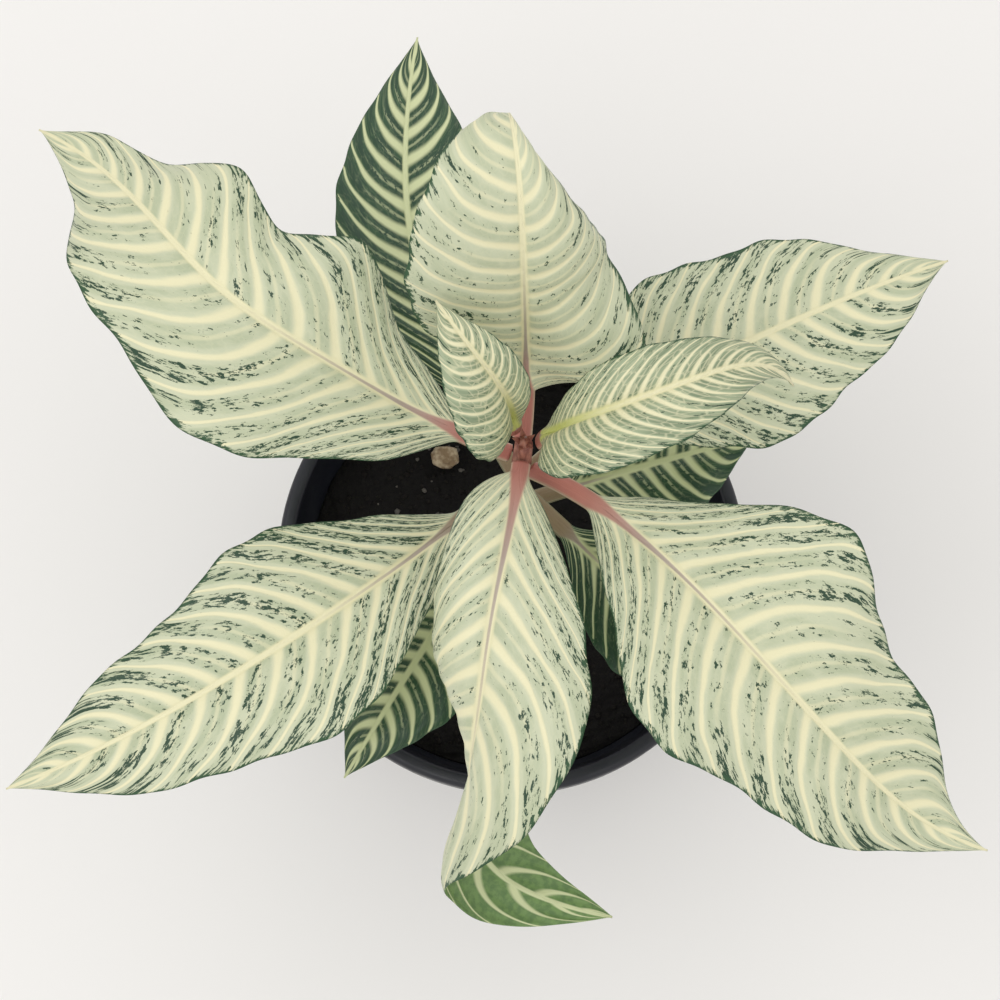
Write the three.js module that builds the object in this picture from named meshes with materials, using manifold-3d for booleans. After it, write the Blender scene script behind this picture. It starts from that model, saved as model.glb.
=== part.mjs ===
// Potted zebra plant: a variegated shoot with six crossed pairs of leaves in a
// black nursery pot. Millimetres, +Z up, origin at the centre of the pot's foot.

import * as THREE from 'three';
import { mergeVertices } from 'three/addons/utils/BufferGeometryUtils.js';
import Module from 'manifold-3d';

const wasm = await Module();
wasm.setup();

// ---- Driving dimensions --------------------------------------------------

const GAP = 0.3; // clearance between pieces that touch

const RIM_RADIUS = 75;
const POT_HEIGHT = 127;
const FOOT_RADIUS = 53;
const WALL = 1.4;
const LIP_WIDTH = 5;
const LIP_DEPTH = 9;
const FLOOR = 2;
const FLOOR_RECESS = 3;
const DRAIN_RADIUS = 5;
const DRAIN_CIRCLE = 38;
const DRAIN_COUNT = 4;

const SOIL_TOP = 108;
const SOIL_MOUND = 1.5;
const STEM_DEPTH = 15;

const STEM_TOP = 249;
const STEM_LEAN_X = 2.5;
const STEM_LEAN_Y = 10;
const STEM_BASE_RADIUS = 4.2;
const STEM_TOP_RADIUS = 2.4;

const PETIOLE_HALF_WIDTH = 2.6;
const PETIOLE_HALF_DEPTH = 1.9;
const BLADE_HALF_THICKNESS = 0.4;
const RIB_DEPTH = 1.4;
const MARGIN_HALF_THICKNESS = 0.3;
const RUFFLE = 0.8; // rise of a margin's wave, as a share of its sideways swell

const LATHE_SEGMENTS = 44;
const LEAF_RINGS = 24;
const HALF_STEPS = 3; // points from midrib to margin in a leaf's section

// ---- How each leaf has grown ---------------------------------------------
// height     where it leaves the stem
// azimuth    compass direction from +X, degrees anticlockwise
// length     stem to tip, along the midrib
// petiole    share of the length that is stalk
// rise       climb of the midrib, degrees, at even steps from stem to tip
// swing      turn of its heading from the azimuth, degrees, at the same steps
// roll       twist of the blade about the midrib, degrees, at even steps
// cup        angle of both halves where they leave the midrib, degrees
// left/right the halves as seen looking outward: width; where the half is
//            fullest; how drawn out its base and tip are; how far it bends
//            from midrib to margin; waves as [share of width, count, phase],
//            which also ruffle the margin up and down

const LEAVES = [
  {
    name: 'young_leaf_left', height: 250, azimuth: 124, length: 60, petiole: 0.06,
    rise: [85, 80, 40, 0], swing: [0, 10, 10, 0], roll: [0], cup: [55, 40, 20],
    left: { width: 18, fullest: 0.4, base: 0.8, tip: 1.15, curl: [-20, -60, -40], wave: [0, 1, 0] },
    right: { width: 8, fullest: 0.55, base: 1.3, tip: 1.15, curl: [-20, -40, -20], wave: [0, 1, 0] },
  },
  {
    name: 'young_leaf_right', height: 250, azimuth: 8, length: 98, petiole: 0.05,
    rise: [80, 60, 10, -30, -60], swing: [-15, -5, 10, 10, -40], roll: [0], cup: [50, 30, 10],
    left: { width: 12, fullest: 0.45, base: 1.4, tip: 1.15, curl: [-40], wave: [0, 1, 0] },
    right: { width: 18, fullest: 0.3, base: 0.8, tip: 1.5, curl: [-30], wave: [0, 1, 0] },
  },
  {
    name: 'upper_leaf_back', height: 241, azimuth: 94, length: 112, petiole: 0.12,
    rise: [10, 60, 70, 60, 20, -70], swing: [-10, 0, 0, 5], roll: [0], cup: [35, 20, 10],
    left: { width: 30, fullest: 0.5, base: 1.2, tip: 0.7, curl: [-20], wave: [0, 1, 0] },
    right: { width: 33, fullest: 0.22, base: 1, tip: 1.6,
      curl: [-20, -20, -80, -100, -70, -40], wave: [0.15, 1.8, 0.1] },
  },
  {
    name: 'upper_leaf_front', height: 241, azimuth: -98, length: 174, petiole: 0.02,
    rise: [25, 0, -25, -50, -55, -20, 0], swing: [0, -4, 0, 0, 18, 70, 88],
    roll: [0, 0, 15, 74, 145, 178, 184], cup: [20, 15, 10],
    left: { width: 31, fullest: 0.4, base: 0.9, tip: 1.1,
      curl: [-30, -30, -40, -75, -80, -40, -20], wave: [0, 1, 0] },
    right: { width: 25, fullest: 0.38, base: 0.45, tip: 0.85,
      curl: [-40, -90, -110, -95, -50, -20, -10], wave: [0, 1, 0] },
  },
  {
    name: 'large_leaf_back_left', height: 229, azimuth: 149, length: 180, petiole: 0.08,
    rise: [20, 20, 0, -30, -20], swing: [15, 5, 0, -18, -16, 0], roll: [0], cup: [20, 15, 10],
    left: { width: 35, fullest: 0.35, base: 1, tip: 1.15, curl: [-20], wave: [0.07, 3.2, 0.1] },
    right: { width: 28, fullest: 0.35, base: 1, tip: 1.1, curl: [-20], wave: [0.14, 3.3, 0.25] },
  },
  {
    name: 'large_leaf_front_right', height: 229, azimuth: -42, length: 172, petiole: 0.12,
    rise: [30, 10, -10, -30, -10], swing: [12, 0, -5, -3, 5, 25], roll: [0], cup: [20, 15, 10],
    left: { width: 36, fullest: 0.4, base: 1, tip: 1.15, curl: [-20], wave: [0.12, 2.2, 0.5] },
    right: { width: 34, fullest: 0.38, base: 1, tip: 1.15, curl: [-20], wave: [0.08, 2.6, 0.3] },
  },
  {
    name: 'middle_leaf_back_right', height: 213, azimuth: 25, length: 136, petiole: 0.1,
    rise: [15, 10, -5, -20], swing: [15, 0, 0, -2], roll: [0], cup: [20, 15, 10],
    left: { width: 28, fullest: 0.38, base: 1.1, tip: 1.15, curl: [-20], wave: [0.05, 2.5, 0.6] },
    right: { width: 29, fullest: 0.45, base: 1, tip: 1.15, curl: [-20], wave: [0.06, 2.5, 0.2] },
  },
  {
    name: 'middle_leaf_front_left', height: 213, azimuth: -148, length: 169, petiole: 0.1,
    rise: [10, 5, -10, -25], swing: [10, 5, 0, -6, -15], roll: [0], cup: [20, 15, 10],
    left: { width: 28, fullest: 0.4, base: 1, tip: 1.15, curl: [-20], wave: [0.06, 2.5, 0.3] },
    right: { width: 28, fullest: 0.35, base: 1, tip: 1, curl: [-20], wave: [0.06, 2.5, 0.3] },
  },
  {
    name: 'lower_leaf_back', height: 196, azimuth: 102, length: 148, petiole: 0.15,
    rise: [10, 0, -10, -15], swing: [20, 10, -10, -20], roll: [0], cup: [20, 10],
    left: { width: 22, fullest: 0.45, base: 1, tip: 1.15, curl: [-20], wave: [0, 1, 0] },
    right: { width: 26, fullest: 0.45, base: 1, tip: 1.15, curl: [-20], wave: [0, 1, 0] },
  },
  {
    name: 'lower_leaf_front_right', height: 196, azimuth: -43, length: 95, petiole: 0.15,
    rise: [0, -10, -25], swing: [0], roll: [0], cup: [20, 10],
    left: { width: 20, fullest: 0.45, base: 1, tip: 1.15, curl: [-20], wave: [0, 1, 0] },
    right: { width: 20, fullest: 0.45, base: 1, tip: 1.15, curl: [-20], wave: [0, 1, 0] },
  },
  {
    name: 'lowest_leaf_right', height: 178, azimuth: 16, length: 70, petiole: 0.15,
    rise: [10, 0, -10], swing: [0], roll: [0], cup: [20, 10],
    left: { width: 20, fullest: 0.45, base: 1, tip: 1.15, curl: [-20], wave: [0, 1, 0] },
    right: { width: 20, fullest: 0.45, base: 1, tip: 1.15, curl: [-20], wave: [0, 1, 0] },
  },
  {
    name: 'lowest_leaf_front_left', height: 178, azimuth: -122, length: 92, petiole: 0.12,
    rise: [10, 0, -20], swing: [0], roll: [0], cup: [20, 10],
    left: { width: 20, fullest: 0.45, base: 1, tip: 1.15, curl: [-20], wave: [0, 1, 0] },
    right: { width: 20, fullest: 0.45, base: 1, tip: 1.15, curl: [-20], wave: [0, 1, 0] },
  },
];

// ---- Materials -----------------------------------------------------------

function finish(color, roughness) {
  return new THREE.MeshStandardMaterial({ color, roughness, metalness: 0 });
}

const plastic = () => finish(0x1c1d22, 0.45);
const peat = () => finish(0x1a1613, 0.95);
const bark = () => finish(0xb09a7c, 0.85);
const stalk = () => finish(0xa9655a, 0.5);
const blade = () => finish(0xc9cfa6, 0.45);

// ---- Small tools ---------------------------------------------------------

const radians = THREE.MathUtils.degToRad;
const clamp = THREE.MathUtils.clamp;
const smooth = THREE.MathUtils.smoothstep;

// Smooth value at s in 0..1 through values set at even steps.
function along(values, s) {
  if (values.length === 1) {
    return values[0];
  }
  const last = values.length - 1;
  const place = clamp(s, 0, 1) * last;
  const i = Math.min(Math.floor(place), last - 1);
  const f = place - i;
  const b = values[i];
  const c = values[i + 1];
  const a = i > 0 ? values[i - 1] : 2 * b - c;
  const d = i + 2 <= last ? values[i + 2] : 2 * c - b;
  return 0.5 * (2 * b + (c - a) * f + (2 * a - 5 * b + 4 * c - d) * f * f
    + (3 * b - a - 3 * c + d) * f * f * f);
}

// Closed skin over a row of rings, each with the same number of points that
// run anticlockwise as seen from the far end of the row. The second half of a
// ring is split the other way, so the two faces of a thin sheet bend alike.
function loft(rings) {
  const count = rings[0].length;
  const points = rings.flat();
  const index = [];
  for (let r = 0; r + 1 < rings.length; r += 1) {
    for (let i = 0; i < count; i += 1) {
      const a = r * count + i;
      const b = r * count + (i + 1) % count;
      if (i < count / 2) {
        index.push(a, b, b + count, a, b + count, a + count);
      } else {
        index.push(a, b, a + count, b, b + count, a + count);
      }
    }
  }
  const ends = [[0, true], [rings.length - 1, false]];
  for (const [ring, first] of ends) {
    const middle = new THREE.Vector3();
    rings[ring].forEach((p) => middle.add(p));
    const hub = points.push(middle.divideScalar(count)) - 1;
    for (let i = 0; i < count; i += 1) {
      const a = ring * count + i;
      const b = ring * count + (i + 1) % count;
      index.push(hub, first ? b : a, first ? a : b);
    }
  }
  const geometry = new THREE.BufferGeometry().setFromPoints(points);
  geometry.setIndex(index);
  geometry.computeVertexNormals();
  return geometry;
}

function toSolid(geometry) {
  const bare = geometry.clone();
  bare.deleteAttribute('normal');
  bare.deleteAttribute('uv');
  const merged = mergeVertices(bare, 1e-4);
  return new wasm.Manifold(new wasm.Mesh({
    numProp: 3,
    vertProperties: new Float32Array(merged.attributes.position.array),
    triVerts: new Uint32Array(merged.index.array),
  }));
}

function fromSolid(solid) {
  const mesh = solid.getMesh();
  const geometry = new THREE.BufferGeometry();
  geometry.setAttribute('position', new THREE.BufferAttribute(mesh.vertProperties, 3));
  geometry.setIndex(new THREE.BufferAttribute(mesh.triVerts, 1));
  geometry.computeVertexNormals();
  return geometry;
}

// Lathe about +Z from [radius, height] pairs that run up the outside.
function turned(profile, segments = LATHE_SEGMENTS) {
  const outline = profile.map(([r, z]) => new THREE.Vector2(r, z));
  const geometry = new THREE.LatheGeometry(outline, segments);
  geometry.rotateX(Math.PI / 2);
  return geometry;
}

function piece(name, geometry, material) {
  const mesh = new THREE.Mesh(geometry, material);
  mesh.name = name;
  return mesh;
}

// ---- Pot and soil --------------------------------------------------------

// Inside radius of the tapered wall at a height.
function potInside(z) {
  const top = RIM_RADIUS - LIP_WIDTH;
  const foot = FOOT_RADIUS - WALL;
  return foot + (top - foot) * (z / POT_HEIGHT);
}

function pot() {
  const lipUnder = POT_HEIGHT - LIP_DEPTH;
  const recessIn = DRAIN_CIRCLE - 10;
  const recessOut = DRAIN_CIRCLE + 10;
  const floorTop = FLOOR_RECESS + FLOOR;
  const shell = toSolid(turned([
    [0, 0],
    [recessIn - 2, 0],
    [recessIn, FLOOR_RECESS],
    [recessOut, FLOOR_RECESS],
    [recessOut + 2, 0],
    [FOOT_RADIUS - 1, 0],
    [FOOT_RADIUS, 1],
    [potInside(lipUnder) + WALL, lipUnder],
    [RIM_RADIUS - 1, lipUnder],
    [RIM_RADIUS, lipUnder + 1],
    [RIM_RADIUS, POT_HEIGHT - 2],
    [RIM_RADIUS - 0.6, POT_HEIGHT - 0.6],
    [RIM_RADIUS - 2, POT_HEIGHT],
    [RIM_RADIUS - LIP_WIDTH + 1.5, POT_HEIGHT],
    [potInside(POT_HEIGHT - 1.5), POT_HEIGHT - 1.5],
    [potInside(floorTop), floorTop],
    [recessIn - 2, floorTop],
    [recessIn - 4, FLOOR],
    [0, FLOOR],
  ]));
  let body = shell;
  for (let i = 0; i < DRAIN_COUNT; i += 1) {
    const drain = new THREE.CylinderGeometry(DRAIN_RADIUS, DRAIN_RADIUS, 4 * FLOOR, 20);
    const angle = Math.PI / 4 + (i * 2 * Math.PI) / DRAIN_COUNT;
    drain.rotateX(Math.PI / 2);
    drain.translate(DRAIN_CIRCLE * Math.cos(angle), DRAIN_CIRCLE * Math.sin(angle),
      FLOOR_RECESS + FLOOR / 2);
    body = body.subtract(toSolid(drain));
  }
  return piece('pot', fromSolid(body), plastic());
}

function soil() {
  const bottom = FLOOR_RECESS + FLOOR + GAP;
  const edge = SOIL_TOP - SOIL_MOUND;
  const plug = toSolid(turned([
    [0, bottom],
    [potInside(bottom) - 2 * GAP, bottom],
    [potInside(edge) - 2 * GAP, edge],
    [0.7 * potInside(edge), SOIL_TOP - SOIL_MOUND / 2],
    [0, SOIL_TOP],
  ]));
  const hole = loft(stemRings(SOIL_TOP - STEM_DEPTH - GAP, SOIL_TOP + 5, GAP));
  return piece('soil', fromSolid(plug.subtract(toSolid(hole))), peat());
}

// A lump of bark lying on the soil.
function barkChip() {
  const chip = new THREE.IcosahedronGeometry(1, 1);
  const half = new THREE.Vector3(5.5, 4, 2.6);
  chip.scale(half.x, half.y, half.z);
  chip.rotateZ(radians(20));
  chip.translate(-22, 36, SOIL_TOP + half.z + GAP);
  return piece('bark_chip', fromSolid(toSolid(chip)), bark());
}

// ---- Stem ----------------------------------------------------------------

// Where the stem's middle is at a height: it leans, and straightens as it climbs.
function stemAxis(z) {
  const f = clamp((z - SOIL_TOP) / (STEM_TOP - SOIL_TOP), -0.1, 1.05);
  const bend = f < 0 ? 2 * f : 1 - (1 - f) ** 2;
  return new THREE.Vector3(STEM_LEAN_X * f, STEM_LEAN_Y * bend, z);
}

// The stem thins towards the top and swells a little at each pair of leaves.
function stemRadius(z) {
  const f = clamp((z - SOIL_TOP) / (STEM_TOP - SOIL_TOP), 0, 1);
  const plain = STEM_BASE_RADIUS + (STEM_TOP_RADIUS - STEM_BASE_RADIUS) * f;
  const heights = LEAVES.map((leaf) => leaf.height);
  const swell = Math.max(...heights.map((h) => Math.exp(-(((z - h) / 3) ** 2))));
  return plain + 0.5 * swell * (1 - f);
}

function stemRings(from, to, extra = 0) {
  const steps = Math.ceil((to - from) / 7);
  const sides = 12;
  const rings = [];
  for (let k = 0; k <= steps; k += 1) {
    const z = from + ((to - from) * k) / steps;
    const middle = stemAxis(z);
    const radius = stemRadius(z) + extra;
    const ring = [];
    for (let i = 0; i < sides; i += 1) {
      const angle = (i * 2 * Math.PI) / sides;
      ring.push(new THREE.Vector3(radius * Math.cos(angle), radius * Math.sin(angle), 0).add(middle));
    }
    rings.push(ring);
  }
  return rings;
}

function stem() {
  return piece('stem', loft(stemRings(SOIL_TOP - STEM_DEPTH, STEM_TOP)), stalk());
}

// The growing point: a small pointed bud on top of the stem.
function shootTip() {
  const bud = turned([[0, 0], [1.8, 0], [1.9, 1.5], [1.2, 4], [0.4, 6], [0, 6.3]], 12);
  const base = stemAxis(STEM_TOP);
  bud.translate(base.x, base.y, STEM_TOP + GAP);
  return piece('shoot_tip', fromSolid(toSolid(bud)), stalk());
}

// ---- Leaves --------------------------------------------------------------

// Share of a half's full width at u along the blade.
function halfOutline(half, u) {
  if (u < half.fullest) {
    return Math.sin((Math.PI / 2) * (u / half.fullest)) ** half.base;
  }
  return Math.max(Math.cos((Math.PI / 2) * ((u - half.fullest) / (1 - half.fullest))), 0) ** half.tip;
}

// Share by which the margin's wave widens a half at u.
function wave(half, u) {
  const [share, count, phase] = half.wave;
  return share * Math.sin(2 * Math.PI * (count * u + phase));
}

function halfWidth(half, u) {
  const width = half.width * halfOutline(half, u) * (1 + wave(half, u));
  return Math.max(Math.hypot(width, PETIOLE_HALF_WIDTH * (1 - u)), MARGIN_HALF_THICKNESS);
}

// Direction of the midrib at s, with the leaf's own left and upper sides there.
function headings(leaf, s) {
  const pitch = radians(along(leaf.rise, s));
  const turn = radians(leaf.azimuth + along(leaf.swing, s));
  const forward = new THREE.Vector3(Math.cos(pitch) * Math.cos(turn),
    Math.cos(pitch) * Math.sin(turn), Math.sin(pitch));
  const left = new THREE.Vector3(-Math.sin(turn), Math.cos(turn), 0);
  const above = new THREE.Vector3().crossVectors(forward, left);
  return { forward, left, above };
}

// One section of a leaf: along its upper side from left to right, then back
// along its lower side.
function leafRing(leaf, s, middle) {
  const u = clamp((s - leaf.petiole) / (1 - leaf.petiole), 0, 1);
  const opened = smooth(u, 0, 0.12);
  const { left, above } = headings(leaf, s);
  const roll = radians(along(leaf.roll, u));
  const across = left.clone().multiplyScalar(Math.cos(roll)).addScaledVector(above, Math.sin(roll));
  const upper = above.clone().multiplyScalar(Math.cos(roll)).addScaledVector(left, -Math.sin(roll));
  const top = [];
  const bottom = [];
  for (let i = HALF_STEPS; i >= -HALF_STEPS; i -= 1) {
    const side = i < 0 ? -1 : 1;
    const half = i < 0 ? leaf.right : leaf.left;
    const t = Math.abs(i) / HALF_STEPS;
    const width = halfWidth(half, u);
    const start = radians(along(leaf.cup, u)) * opened;
    const bend = radians(along(half.curl, u)) * opened - 1e-4;
    const x = (width * (Math.sin(start + bend * t) - Math.sin(start))) / bend;
    const ruffle = RUFFLE * half.width * wave(half, u) * t * t * Math.sin(Math.PI * u);
    const y = (width * (Math.cos(start) - Math.cos(start + bend * t))) / bend + ruffle;
    const lean = start + bend * t;
    const point = middle.clone().addScaledVector(across, side * x).addScaledVector(upper, y);
    const normal = across.clone().multiplyScalar(-side * Math.sin(lean))
      .addScaledVector(upper, Math.cos(lean));
    const round = PETIOLE_HALF_DEPTH * Math.sqrt(Math.max(1 - t * t, 0.03));
    const flat = BLADE_HALF_THICKNESS + (MARGIN_HALF_THICKNESS - BLADE_HALF_THICKNESS) * t;
    const rib = i === 0 ? RIB_DEPTH * (1 - u) : 0;
    top.push(point.clone().addScaledVector(normal, round + (flat - round) * opened));
    bottom.push(point.clone().addScaledVector(normal, -(round + (flat + rib - round) * opened)));
  }
  return top.concat(bottom.reverse());
}

function leaf(growth) {
  const root = stemAxis(growth.height);
  const climb = Math.max(Math.sin(radians(growth.rise[0])), 0);
  const reach = stemRadius(growth.height) + 2 * GAP + PETIOLE_HALF_DEPTH * climb;
  const outward = radians(growth.azimuth);
  const middle = root.add(new THREE.Vector3(Math.cos(outward), Math.sin(outward), 0)
    .multiplyScalar(reach));
  const rings = [leafRing(growth, 0, middle)];
  const fine = 4;
  const step = growth.length / (LEAF_RINGS * fine);
  for (let k = 1; k <= LEAF_RINGS * fine; k += 1) {
    const halfway = (k - 0.5) / (LEAF_RINGS * fine);
    middle.addScaledVector(headings(growth, halfway).forward, step);
    if (k % fine === 0) {
      rings.push(leafRing(growth, k / (LEAF_RINGS * fine), middle));
    }
  }
  return piece(growth.name, loft(rings), blade());
}

// ---- Whole plant ---------------------------------------------------------

const plant = new THREE.Group();
plant.add(pot(), soil(), barkChip(), stem(), shootTip());
LEAVES.forEach((growth) => plant.add(leaf(growth)));

export default plant;
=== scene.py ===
"""Potted zebra plant: the looks of every piece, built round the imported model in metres.

Each leaf is one closed surface on a grid. Its midrib grows by a climb and a swing set at even steps,
and each half of the blade has its own width, fullest place, bend and waves. The shader patterns follow
the growth of the leaf through attributes that are stored on its points.
"""

import math

import bmesh
import bpy
import numpy as np
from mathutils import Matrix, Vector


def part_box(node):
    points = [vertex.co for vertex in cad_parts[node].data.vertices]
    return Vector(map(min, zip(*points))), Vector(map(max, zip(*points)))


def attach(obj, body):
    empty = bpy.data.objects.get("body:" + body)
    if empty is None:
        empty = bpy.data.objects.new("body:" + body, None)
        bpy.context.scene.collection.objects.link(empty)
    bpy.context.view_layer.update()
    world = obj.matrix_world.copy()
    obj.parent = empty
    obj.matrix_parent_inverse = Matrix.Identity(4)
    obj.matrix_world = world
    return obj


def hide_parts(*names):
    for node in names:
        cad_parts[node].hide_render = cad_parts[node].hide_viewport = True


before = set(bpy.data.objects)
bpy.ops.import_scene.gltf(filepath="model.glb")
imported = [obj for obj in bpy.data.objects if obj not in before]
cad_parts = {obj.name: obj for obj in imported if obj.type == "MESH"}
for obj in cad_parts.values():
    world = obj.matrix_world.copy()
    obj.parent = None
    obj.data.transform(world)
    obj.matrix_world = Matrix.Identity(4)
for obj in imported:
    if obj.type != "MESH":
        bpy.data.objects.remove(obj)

bl_info = {
    "name": "Potted Zebra Plant",
    "version": (1, 0, 0),
    "blender": (4, 5, 0),
    "location": "3D View > Sidebar > Zebra Plant",
    "description": "Variegated zebra plant in a black nursery pot",
    "category": "Object",
}

MM = 0.001
RIM_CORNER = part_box("pot")[1]
RIM_RADIUS = RIM_CORNER.x
POT_HEIGHT = RIM_CORNER.z
SOIL_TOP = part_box("soil")[1].z
STEM_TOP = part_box("stem")[1].z

# ---- How each leaf has grown (millimetres and degrees) -------------------------------------------
# height, azimuth: where the leaf leaves the stem and where it heads; petiole: share that is stalk
# rise and swing: climb of the midrib and turn of its heading, at even steps from stem to tip
# roll: twist about the midrib; cup: angle of both halves at the midrib; curl: bend out to the margin
# half: width, fullest place, pointedness of base and tip, curl, wave (share of width, count, phase)
# veins: how many from stalk to tip; flecks: how many are dark; green: how green it is between veins
# blush: share of the blade along which the stalk's pink line runs


def half(width, fullest, base=1.0, tip=1.15, curl=(-20,), wave=(0, 1, 0)):
    """One half of a blade, from the midrib to one margin."""
    return {"width": width, "fullest": fullest, "base": base, "tip": tip, "curl": curl, "wave": wave}


LEAVES = {
    "young_leaf_left": {
        "height": 250, "azimuth": 124, "length": 60, "petiole": 0.06,
        "rise": (85, 80, 40, 0), "swing": (0, 10, 10, 0), "cup": (55, 40, 20),
        "left": half(18, 0.4, 0.8, curl=(-20, -60, -40)),
        "right": half(8, 0.55, 1.3, curl=(-20, -40, -20)),
        "kind": "young", "veins": 17, "flecks": 0.25, "green": 0.05,
    },
    "young_leaf_right": {
        "height": 250, "azimuth": 8, "length": 98, "petiole": 0.05,
        "rise": (80, 60, 10, -30, -60), "swing": (-15, -5, 10, 10, -40), "cup": (50, 30, 10),
        "left": half(12, 0.45, 1.4, curl=(-40,)),
        "right": half(18, 0.3, 0.8, 1.5, curl=(-30,)),
        "kind": "young", "veins": 22, "flecks": 0.15, "green": 0.1,
    },
    "upper_leaf_back": {
        "height": 241, "azimuth": 94, "length": 112, "petiole": 0.12,
        "rise": (10, 60, 70, 60, 20, -70), "swing": (-10, 0, 0, 5), "cup": (35, 20, 10),
        "left": half(30, 0.5, 1.2, 0.7),
        "right": half(33, 0.22, 1.0, 1.6, (-20, -20, -80, -100, -70, -40), (0.15, 1.8, 0.1)),
        "kind": "pale", "veins": 14, "flecks": 0.35, "green": 0.1,
    },
    "upper_leaf_front": {
        "height": 241, "azimuth": -98, "length": 174, "petiole": 0.02,
        "rise": (25, 0, -25, -50, -55, -20, 0), "swing": (0, -4, 0, 0, 18, 70, 88),
        "roll": (0, 0, 15, 74, 145, 178, 184), "cup": (20, 15, 10),
        "left": half(31, 0.4, 0.9, 1.1, (-30, -30, -40, -75, -80, -40, -20)),
        "right": half(25, 0.38, 0.45, 0.85, (-40, -90, -110, -95, -50, -20, -10)),
        "kind": "pale", "veins": 14, "flecks": 0.4, "green": 0.2,
    },
    "large_leaf_back_left": {
        "height": 229, "azimuth": 149, "length": 180, "petiole": 0.08, "blush": 0.3,
        "rise": (20, 20, 0, -30, -20), "swing": (15, 5, 0, -18, -16, 0), "cup": (20, 15, 10),
        "left": half(35, 0.35, wave=(0.07, 3.2, 0.1)),
        "right": half(28, 0.35, 1.0, 1.1, wave=(0.14, 3.3, 0.25)),
        "kind": "pale", "veins": 14, "flecks": 0.55, "green": 0.25,
    },
    "large_leaf_front_right": {
        "height": 229, "azimuth": -42, "length": 172, "petiole": 0.12,
        "rise": (30, 10, -10, -30, -10), "swing": (12, 0, -5, -3, 5, 25), "cup": (20, 15, 10),
        "left": half(36, 0.4, wave=(0.12, 2.2, 0.5)),
        "right": half(34, 0.38, wave=(0.08, 2.6, 0.3)),
        "kind": "pale", "veins": 14, "flecks": 0.6, "green": 0.3,
    },
    "middle_leaf_back_right": {
        "height": 213, "azimuth": 25, "length": 136, "petiole": 0.1, "blush": 0.25,
        "rise": (15, 10, -5, -20), "swing": (15, 0, 0, -2), "cup": (20, 15, 10),
        "left": half(28, 0.38, 1.1, wave=(0.05, 2.5, 0.6)),
        "right": half(29, 0.45, wave=(0.06, 2.5, 0.2)),
        "kind": "pale", "veins": 13, "flecks": 0.7, "green": 0.35,
    },
    "middle_leaf_front_left": {
        "height": 213, "azimuth": -148, "length": 169, "petiole": 0.1, "blush": 0.25,
        "rise": (10, 5, -10, -25), "swing": (10, 5, 0, -6, -15), "cup": (20, 15, 10),
        "left": half(28, 0.4, wave=(0.06, 2.5, 0.3)),
        "right": half(28, 0.35, 1.0, 1.0, wave=(0.06, 2.5, 0.3)),
        "kind": "pale", "veins": 14, "flecks": 0.85, "green": 0.45,
    },
    # The four lower leaves below have the green kind, partly painted shade from the leaves above them.
    "lower_leaf_back": {
        "height": 196, "azimuth": 102, "length": 148, "petiole": 0.15,
        "rise": (10, 0, -10, -15), "swing": (20, 10, -10, -20), "cup": (20, 10),
        "left": half(22, 0.45), "right": half(26, 0.45),
        "kind": "green", "veins": 15, "flecks": 1.0, "green": 0.9,
    },
    "lower_leaf_front_right": {
        "height": 196, "azimuth": -43, "length": 95, "petiole": 0.15,
        "rise": (0, -10, -25), "swing": (0,), "cup": (20, 10),
        "left": half(20, 0.45), "right": half(20, 0.45),
        "kind": "green", "veins": 12, "flecks": 1.0, "green": 0.9,
    },
    "lowest_leaf_right": {
        "height": 178, "azimuth": 16, "length": 70, "petiole": 0.15,
        "rise": (10, 0, -10), "swing": (0,), "cup": (20, 10),
        "left": half(20, 0.45), "right": half(20, 0.45),
        "kind": "green", "veins": 10, "flecks": 1.0, "green": 1.0,
    },
    "lowest_leaf_front_left": {
        "height": 178, "azimuth": -122, "length": 92, "petiole": 0.12,
        "rise": (10, 0, -20), "swing": (0,), "cup": (20, 10),
        "left": half(20, 0.45), "right": half(20, 0.45),
        "kind": "green", "veins": 12, "flecks": 0.9, "green": 0.6,
    },
}

# Sizes in millimetres, and shares. The ones up to GAP are the same in the CAD part.
PETIOLE_HALF_WIDTH = 2.6
PETIOLE_HALF_DEPTH = 1.9
RUFFLE = 0.8
STEM_LEAN = (2.5, 10.0)
STEM_BASE_RADIUS = 4.2
STEM_TOP_RADIUS = 2.4
GAP = 0.3
STEM_SWELLING = 0.5
STEM_SKIN_INSET = 0.05
POT_FOOT_RADIUS = 53.0
POT_STEP_HEIGHT = 112.5
BAND_HEIGHTS = (96, 97, 99, 100)
BAND_RAISE = 0.25
DRAIN_RADIUS = 5
DRAIN_CIRCLE = 38
DRAINS = 4
POLE_RADIUS = 0.01
POLE_MERGE = 0.05
SOIL_FOOT_RADIUS = 50.5
SOIL_RINGS = 120
SOIL_SEGMENTS = 300
SMALL_LEAF_LENGTH = 105
SMALL_LEAF_DETAIL = 0.7
BUD_SCALES = 5

# The studio: slide of the camera in millimetres, the rest in metres and watts
CAMERA_SLIDE = (-3.84, 18.2)
FLOOR_REACH = 4
FLOOR_DROP = 0.0005
LAMPS = {
    "key": {"place": (-0.7, -0.3, 1.5), "size": 1.2, "power": 7},
    "fill": {"place": (0.9, -0.5, 1.3), "size": 1.4, "power": 2.5},
    "back": {"place": (0.1, 1.1, 1.2), "size": 1.2, "power": 2.5},
}
LAMP_AIM = (0, 0, 0.15)
AIR_COLOUR = (1.0, 0.99, 0.97, 1.0)
AIR_STRENGTH = 0.76


# ---- Surfaces ------------------------------------------------------------------------------------


def smooth(x, low, high):
    """Smoothstep: 0 below low, 1 above high, and 3f^2 - 2f^3 between them."""
    f = np.clip((x - low) / (high - low), 0, 1)
    return f * f * (3 - 2 * f)


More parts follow.
